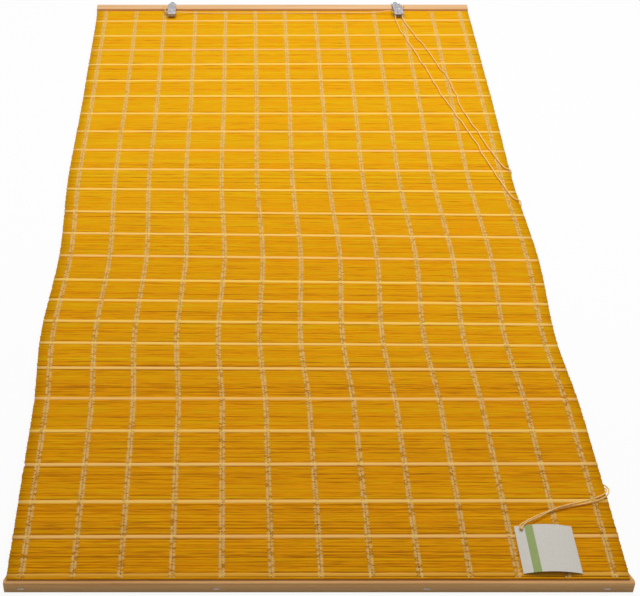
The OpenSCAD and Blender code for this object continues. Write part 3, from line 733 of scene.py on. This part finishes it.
def add_band(k):
    """Zigzag warp threads on both faces of the mat, in two columns of diamonds."""
    count = len(warp)
    sides = len(THREAD_SECTION_SHARES)
    flip = np.where(np.arange(count) % 2 == 0, ZIGZAG, -ZIGZAG)
    fade = np.linspace(1, DOT_FADE_SHARE, count)
    threads, faces, tones = [], [], []
    for face in (1, -1):
        for column in (-BAND_COLUMN, BAND_COLUMN):
            dark = rng.random(count) < DOT_SHARE
            dots = DOT_TONE * fade * np.where(dark, DOT_SHARE - 1, DOT_SHARE)
            for phase in (-1, 1):
                turn = phase * flip * np.sign(column)
                x = band_x[k] + sway(warp[:, 0]) + column + turn + rng.normal(0, THREAD_SCATTER, count)
                lift = warp[:, 3] + (THREAD_CROSS if phase > 0 else 0)
                faces += tube_faces(count, sides, len(threads) * count * sides)
                threads.append(thread_rings(x, lift, face))
                scatter = rng.uniform(-THREAD_TONE_SCATTER, THREAD_TONE_SCATTER, count)
                # Painted light on the upper threads and painted shade on the ones below
                tones.append(np.repeat(THREAD_TONE + phase * PHASE_SHADE_TONE + dots + scatter, sides))
    name = numbered("warp_band", k + 1)
    return add_piece(name + "_threads", np.vstack(threads), faces, "warp_thread", [name],
                     np.concatenate(tones), smooth=False)


for number in range(BAND_COUNT):
    add_band(number)

# Rails, which are the CAD bars with shaped ends

# How much shorter the head rail is than its CAD bar at its left and right end
HEAD_TRIM = (2.8 * MM, 4.3 * MM)
# Slanted corners of the bottom rail towards the mat: length along the rail, and what they leave of its width
CORNER_RUN = 8 * MM
CORNER_WIDTH = 8 * MM
# Radius of the bottom rail's other corners, and the share of it where the round gets one more cut
LOWER_ROUND = 0.9 * MM
ROUND_CUT_SHARE = 0.3


def copy_node(node, cuts):
    """A bmesh of a CAD node, cut across X at some places so that its ends can be shaped."""
    shape = bmesh.new()
    shape.from_mesh(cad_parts[node].data)
    for x in cuts:
        every = shape.verts[:] + shape.edges[:] + shape.faces[:]
        bmesh.ops.bisect_plane(shape, geom=every, plane_co=(x, 0, 0), plane_no=(1, 0, 0))
    return shape


def add_rail(node, shape, look):
    mesh = bpy.data.meshes.new(node + "_bar")
    shape.to_mesh(mesh)
    shape.free()
    mesh.materials.clear()
    mesh.materials.append(LOOKS[look])
    piece = new_object(node + "_bar", mesh)
    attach(piece, BODY)
    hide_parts(node)


def add_head_rail():
    """The CAD bar with both ends moved in."""
    low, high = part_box("head_rail")
    shape = copy_node("head_rail", ())
    for point in shape.verts:
        if point.co.x < low.x + HEAD_TRIM[0]:
            point.co.x += HEAD_TRIM[0]
        elif point.co.x > high.x - HEAD_TRIM[1]:
            point.co.x -= HEAD_TRIM[1]
    add_rail("head_rail", shape, "rail_wood")


def add_bottom_rail():
    """The CAD bar with slanted corners towards the mat and rounded corners away from it."""
    low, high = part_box("bottom_rail")
    middle_y = (low.y + high.y) / 2
    steps = [ROUND_CUT_SHARE * LOWER_ROUND, LOWER_ROUND, CORNER_RUN]
    shape = copy_node("bottom_rail", [low.x + step for step in steps] + [high.x - step for step in steps])
    for point in shape.verts:
        inset = min(point.co.x - low.x, high.x - point.co.x)
        if point.co.y > middle_y and inset < CORNER_RUN:
            point.co.y -= (1 - inset / CORNER_RUN) * (high.y - low.y - CORNER_WIDTH)
        elif point.co.y < middle_y and inset < LOWER_ROUND:
            point.co.y += LOWER_ROUND - math.sqrt(LOWER_ROUND ** 2 - (LOWER_ROUND - inset) ** 2)
    add_rail("bottom_rail", shape, "rail_wood_shaded")


add_head_rail()
add_bottom_rail()

# CAD nodes that keep their shape and take a finish

NODE_LOOKS = {
    "galvanised_steel": ["pulley_back_strip", "pulley_front_strip", "lock_back_strip", "lock_front_strip"],
    "bright_steel": ["pulley_wheel", "pulley_axle", "lock_wheel", "lock_axle", "lock_roller",
                     "fitting_screws", "bottom_rail_staples"],
    "card": ["hang_tag"],
}


def dress_nodes():
    for slot, names in NODE_LOOKS.items():
        for name in names:
            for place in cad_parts[name].material_slots:
                place.material = LOOKS[slot]


dress_nodes()

# Floor and light

# Half width and grey of the floor, and the share of plain white in what the camera sees of it
FLOOR_HALF = 8.0
FLOOR_GREY = 0.9
FLOOR_GLOW_SHARE = 0.92
KEY_PLACE = (0.2, 0.48, 2.0)
KEY_AIM = (0.2, 0.38, 0)
KEY_SIZE = (2.4, 1.2)
KEY_POWER = 38.4
WORLD_STRENGTH = 0.27


def seen_directly(tree):
    """1 for rays from the camera, also by way of a mirror or glass, and 0 for light that falls on things."""
    rays = tree.nodes.new("ShaderNodeLightPath").outputs
    seen = rays["Is Camera Ray"]
    for other in ("Is Glossy Ray", "Is Transmission Ray"):
        either = tree.nodes.new("ShaderNodeMath")
        either.operation = "MAXIMUM"
        tree.links.new(seen, either.inputs[0])
        tree.links.new(rays[other], either.inputs[1])
        seen = either.outputs["Value"]
    return seen


def add_floor():
    """Pale floor that takes soft shadows and looks white to the camera."""
    low, high = -FLOOR_HALF, FLOOR_HALF
    mesh = bpy.data.meshes.new("floor")
    mesh.from_pydata([(low, low, 0), (high, low, 0), (high, high, 0), (low, high, 0)], [], [(0, 1, 2, 3)])
    look = Look("floor_white", roughness=0.9)
    look.shader.inputs["Base Color"].default_value = (FLOOR_GREY, FLOOR_GREY, FLOOR_GREY, 1)
    share = look.math("MULTIPLY", seen_directly(look.tree), FLOOR_GLOW_SHARE)
    glow = look.add("ShaderNodeEmission").outputs["Emission"]
    blend = look.add("ShaderNodeMixShader", {"Fac": share, 1: look.shader.outputs["BSDF"], 2: glow})
    look.tree.links.new(blend.outputs["Shader"], look.tree.nodes["Material Output"].inputs["Surface"])
    mesh.materials.append(look.material)
    new_object("floor", mesh)


def add_light(name, place, aim, size, power):
    data = bpy.data.lights.new(name, "AREA")
    data.shape = "RECTANGLE"
    data.size, data.size_y = size
    data.energy = power
    light = new_object(name, data)
    light.location = place
    way = np.array(aim) - np.array(place)
    flat = math.hypot(way[0], way[1])
    light.rotation_euler = (math.atan2(flat, -way[2]), 0, math.atan2(way[1], way[0]) - math.pi / 2)


def add_world(strength):
    """Even light from all round, which looks white to the camera."""
    world = bpy.data.worlds.new("world")
    bpy.context.scene.world = world
    world.use_nodes = True
    tree = world.node_tree
    background = tree.nodes["Background"]
    background.inputs["Color"].default_value = (1, 1, 1, 1)
    level = tree.nodes.new("ShaderNodeMapRange")
    level.inputs["To Min"].default_value = strength
    level.inputs["To Max"].default_value = 1.0
    tree.links.new(seen_directly(tree), level.inputs["Value"])
    tree.links.new(level.outputs["Result"], background.inputs["Strength"])


add_floor()
add_light("key", KEY_PLACE, KEY_AIM, KEY_SIZE, KEY_POWER)
add_world(WORLD_STRENGTH)
bpy.context.scene.view_settings.view_transform = "Standard"
